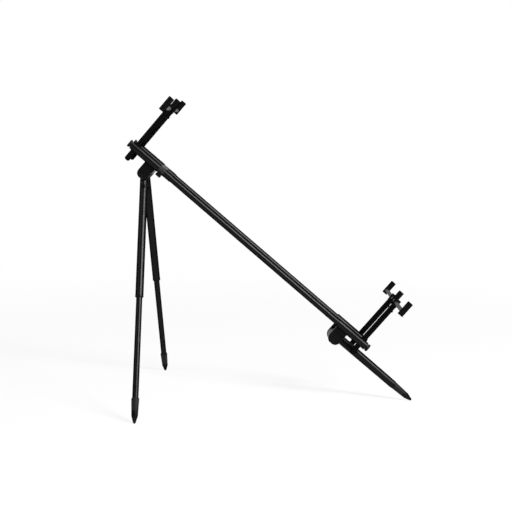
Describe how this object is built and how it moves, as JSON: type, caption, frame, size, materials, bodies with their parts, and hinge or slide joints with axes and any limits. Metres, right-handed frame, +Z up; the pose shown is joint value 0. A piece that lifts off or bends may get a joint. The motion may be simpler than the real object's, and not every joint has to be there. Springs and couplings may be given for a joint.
{
  "type": "rod pod",
  "caption": "Fishing rod pod with a sloping twin-rail bar, height-adjustable buzz bars with threaded alarm inserts, splayed telescopic front legs and a folding rear leg.",
  "frame": {"origin": "on the ground, under the middle of the outline from the front stem ends to the rear foot", "axes": "+Z up; +X along the bar from its raised front end to its low rear end; +Y to the right of an angler who sits behind the pod and faces the front"},
  "size_m": [0.7274, 0.5327, 0.7477],
  "materials": {
    "black_tube": "black anodised, satin gloss",
    "black_stem": "black anodised, satin",
    "black_insert": "black anodised, satin",
    "black_plastic": "moulded black nylon, fine grain",
    "grey_metal": "dark grey, satin",
    "grey_clamp": "dark grey moulded nylon",
    "steel_pin": "blackened turned steel"
  },
  "bodies": {
    "main_bar": {"left_rail": "black_tube", "right_rail": "black_tube", "left_collar": "black_tube", "right_collar": "black_tube", "left_rear_sleeve": "black_tube", "right_rear_sleeve": "black_tube", "rear_hinge_block": "black_plastic", "rear_pivot_pin": "steel_pin"},
    "front_head": {"left_front_sleeve": "black_tube", "right_front_sleeve": "black_tube", "rail_clamp": "grey_clamp", "clamp_jaw": "black_plastic", "front_hinge_block": "black_plastic", "front_pivot_pin": "steel_pin"},
    "front_buzz_bar": {"left_front_stem": "black_stem", "right_front_stem": "black_stem", "left_front_cap": "black_plastic", "right_front_cap": "black_plastic", "front_bar": "grey_metal", "left_front_insert": "black_insert", "middle_front_insert": "black_insert", "right_front_insert": "black_insert"},
    "rear_buzz_bar": {"left_rear_stem": "black_stem", "right_rear_stem": "black_stem", "left_rear_cap": "black_plastic", "right_rear_cap": "black_plastic", "rear_bar": "grey_metal", "left_rear_insert": "black_insert", "middle_rear_insert": "black_insert", "right_rear_insert": "black_insert"},
    "rear_leg": {"rear_knuckle": "black_tube", "rear_leg_tube": "black_tube", "rear_leg_bush": "black_plastic"},
    "rear_leg_slider": {"rear_leg_inner": "black_tube", "rear_leg_plug": "black_plastic", "rear_foot": "black_plastic"},
    "left_hinge": {"left_knuckle": "black_tube"},
    "left_leg": {"left_leg_fork": "black_tube", "left_splay_pin": "steel_pin", "left_leg_tube": "black_tube", "left_leg_bush": "black_plastic"},
    "left_leg_slider": {"left_leg_inner": "black_tube", "left_leg_plug": "black_plastic", "left_foot": "black_plastic"},
    "left_rail_screw": {"left_rail_knob": "black_plastic"},
    "left_front_stem_screw": {"left_front_stem_knob": "black_plastic"},
    "left_rear_stem_screw": {"left_rear_stem_knob": "black_plastic"},
    "right_hinge": {"right_knuckle": "black_tube"},
    "right_leg": {"right_leg_fork": "black_tube", "right_splay_pin": "steel_pin", "right_leg_tube": "black_tube", "right_leg_bush": "black_plastic"},
    "right_leg_slider": {"right_leg_inner": "black_tube", "right_leg_plug": "black_plastic", "right_foot": "black_plastic"},
    "right_rail_screw": {"right_rail_knob": "black_plastic"},
    "right_front_stem_screw": {"right_front_stem_knob": "black_plastic"},
    "right_rear_stem_screw": {"right_rear_stem_knob": "black_plastic"}
  },
  "joints": [
    {"name": "head_slide", "type": "slide", "parent": "main_bar", "child": "front_head", "axis": [-0.7694, 0, 0.6388], "range_m": [0, 0.04]},
    {"name": "front_stem_slide", "type": "slide", "parent": "front_head", "child": "front_buzz_bar", "axis": [0.6388, 0, 0.7694], "range_m": [-0.088, 0.018]},
    {"name": "rear_stem_slide", "type": "slide", "parent": "main_bar", "child": "rear_buzz_bar", "axis": [0.6388, 0, 0.7694], "range_m": [-0.088, 0.018]},
    {"name": "rear_leg_fold", "type": "hinge", "parent": "main_bar", "child": "rear_leg", "pos_m": [0.16271, 0, 0.16247], "axis": [0, 1, 0], "range_deg": [0, 100]},
    {"name": "rear_leg_slide", "type": "slide", "parent": "rear_leg", "child": "rear_leg_slider", "axis": [0.7694, 0, -0.6388], "range_m": [0, 0.07]},
    {"name": "left_leg_fold", "type": "hinge", "parent": "front_head", "child": "left_hinge", "pos_m": [-0.31845, 0, 0.56323], "axis": [0, -1, 0], "range_deg": [-40, 46]},
    {"name": "left_leg_splay", "type": "hinge", "parent": "left_hinge", "child": "left_leg", "pos_m": [-0.31782, -0.03026, 0.53302], "axis": [0.9998, 0, 0.0209], "range_deg": [0, 23]},
    {"name": "left_leg_slide", "type": "slide", "parent": "left_leg", "child": "left_leg_slider", "axis": [-0.0192, 0.4019, 0.9155], "range_m": [-0.012, 0.2]},
    {"name": "right_leg_fold", "type": "hinge", "parent": "front_head", "child": "right_hinge", "pos_m": [-0.31845, 0, 0.56323], "axis": [0, -1, 0], "range_deg": [-42, 44]},
    {"name": "right_leg_splay", "type": "hinge", "parent": "right_hinge", "child": "right_leg", "pos_m": [-0.31692, 0.03026, 0.53305], "axis": [-0.9987, 0, -0.0506], "range_deg": [0, 23]},
    {"name": "right_leg_slide", "type": "slide", "parent": "right_leg", "child": "right_leg_slider", "axis": [-0.0463, -0.4019, 0.9145], "range_m": [-0.012, 0.2]},
    {"name": "left_rail_screw_turn", "type": "hinge", "parent": "front_head", "child": "left_rail_screw", "pos_m": [-0.2802, -0.038, 0.56202], "axis": [-0.6388, 0, -0.7694], "range_deg": [0, 270]},
    {"name": "left_front_stem_screw_turn", "type": "hinge", "parent": "front_head", "child": "left_front_stem_screw", "pos_m": [-0.34641, -0.038, 0.63194], "axis": [-0.7694, 0, 0.6388], "range_deg": [0, 270]},
    {"name": "left_rear_stem_screw_turn", "type": "hinge", "parent": "main_bar", "child": "left_rear_stem_screw", "pos_m": [0.23895, -0.038, 0.14596], "axis": [0.7694, 0, -0.6388], "range_deg": [0, 270]},
    {"name": "right_rail_screw_turn", "type": "hinge", "parent": "front_head", "child": "right_rail_screw", "pos_m": [-0.2802, 0.038, 0.56202], "axis": [-0.6388, 0, -0.7694], "range_deg": [0, 270]},
    {"name": "right_front_stem_screw_turn", "type": "hinge", "parent": "front_head", "child": "right_front_stem_screw", "pos_m": [-0.34641, 0.038, 0.63194], "axis": [-0.7694, 0, 0.6388], "range_deg": [0, 270]},
    {"name": "right_rear_stem_screw_turn", "type": "hinge", "parent": "main_bar", "child": "right_rear_stem_screw", "pos_m": [0.23895, 0.038, 0.14596], "axis": [0.7694, 0, -0.6388], "range_deg": [0, 270]}
  ]
}
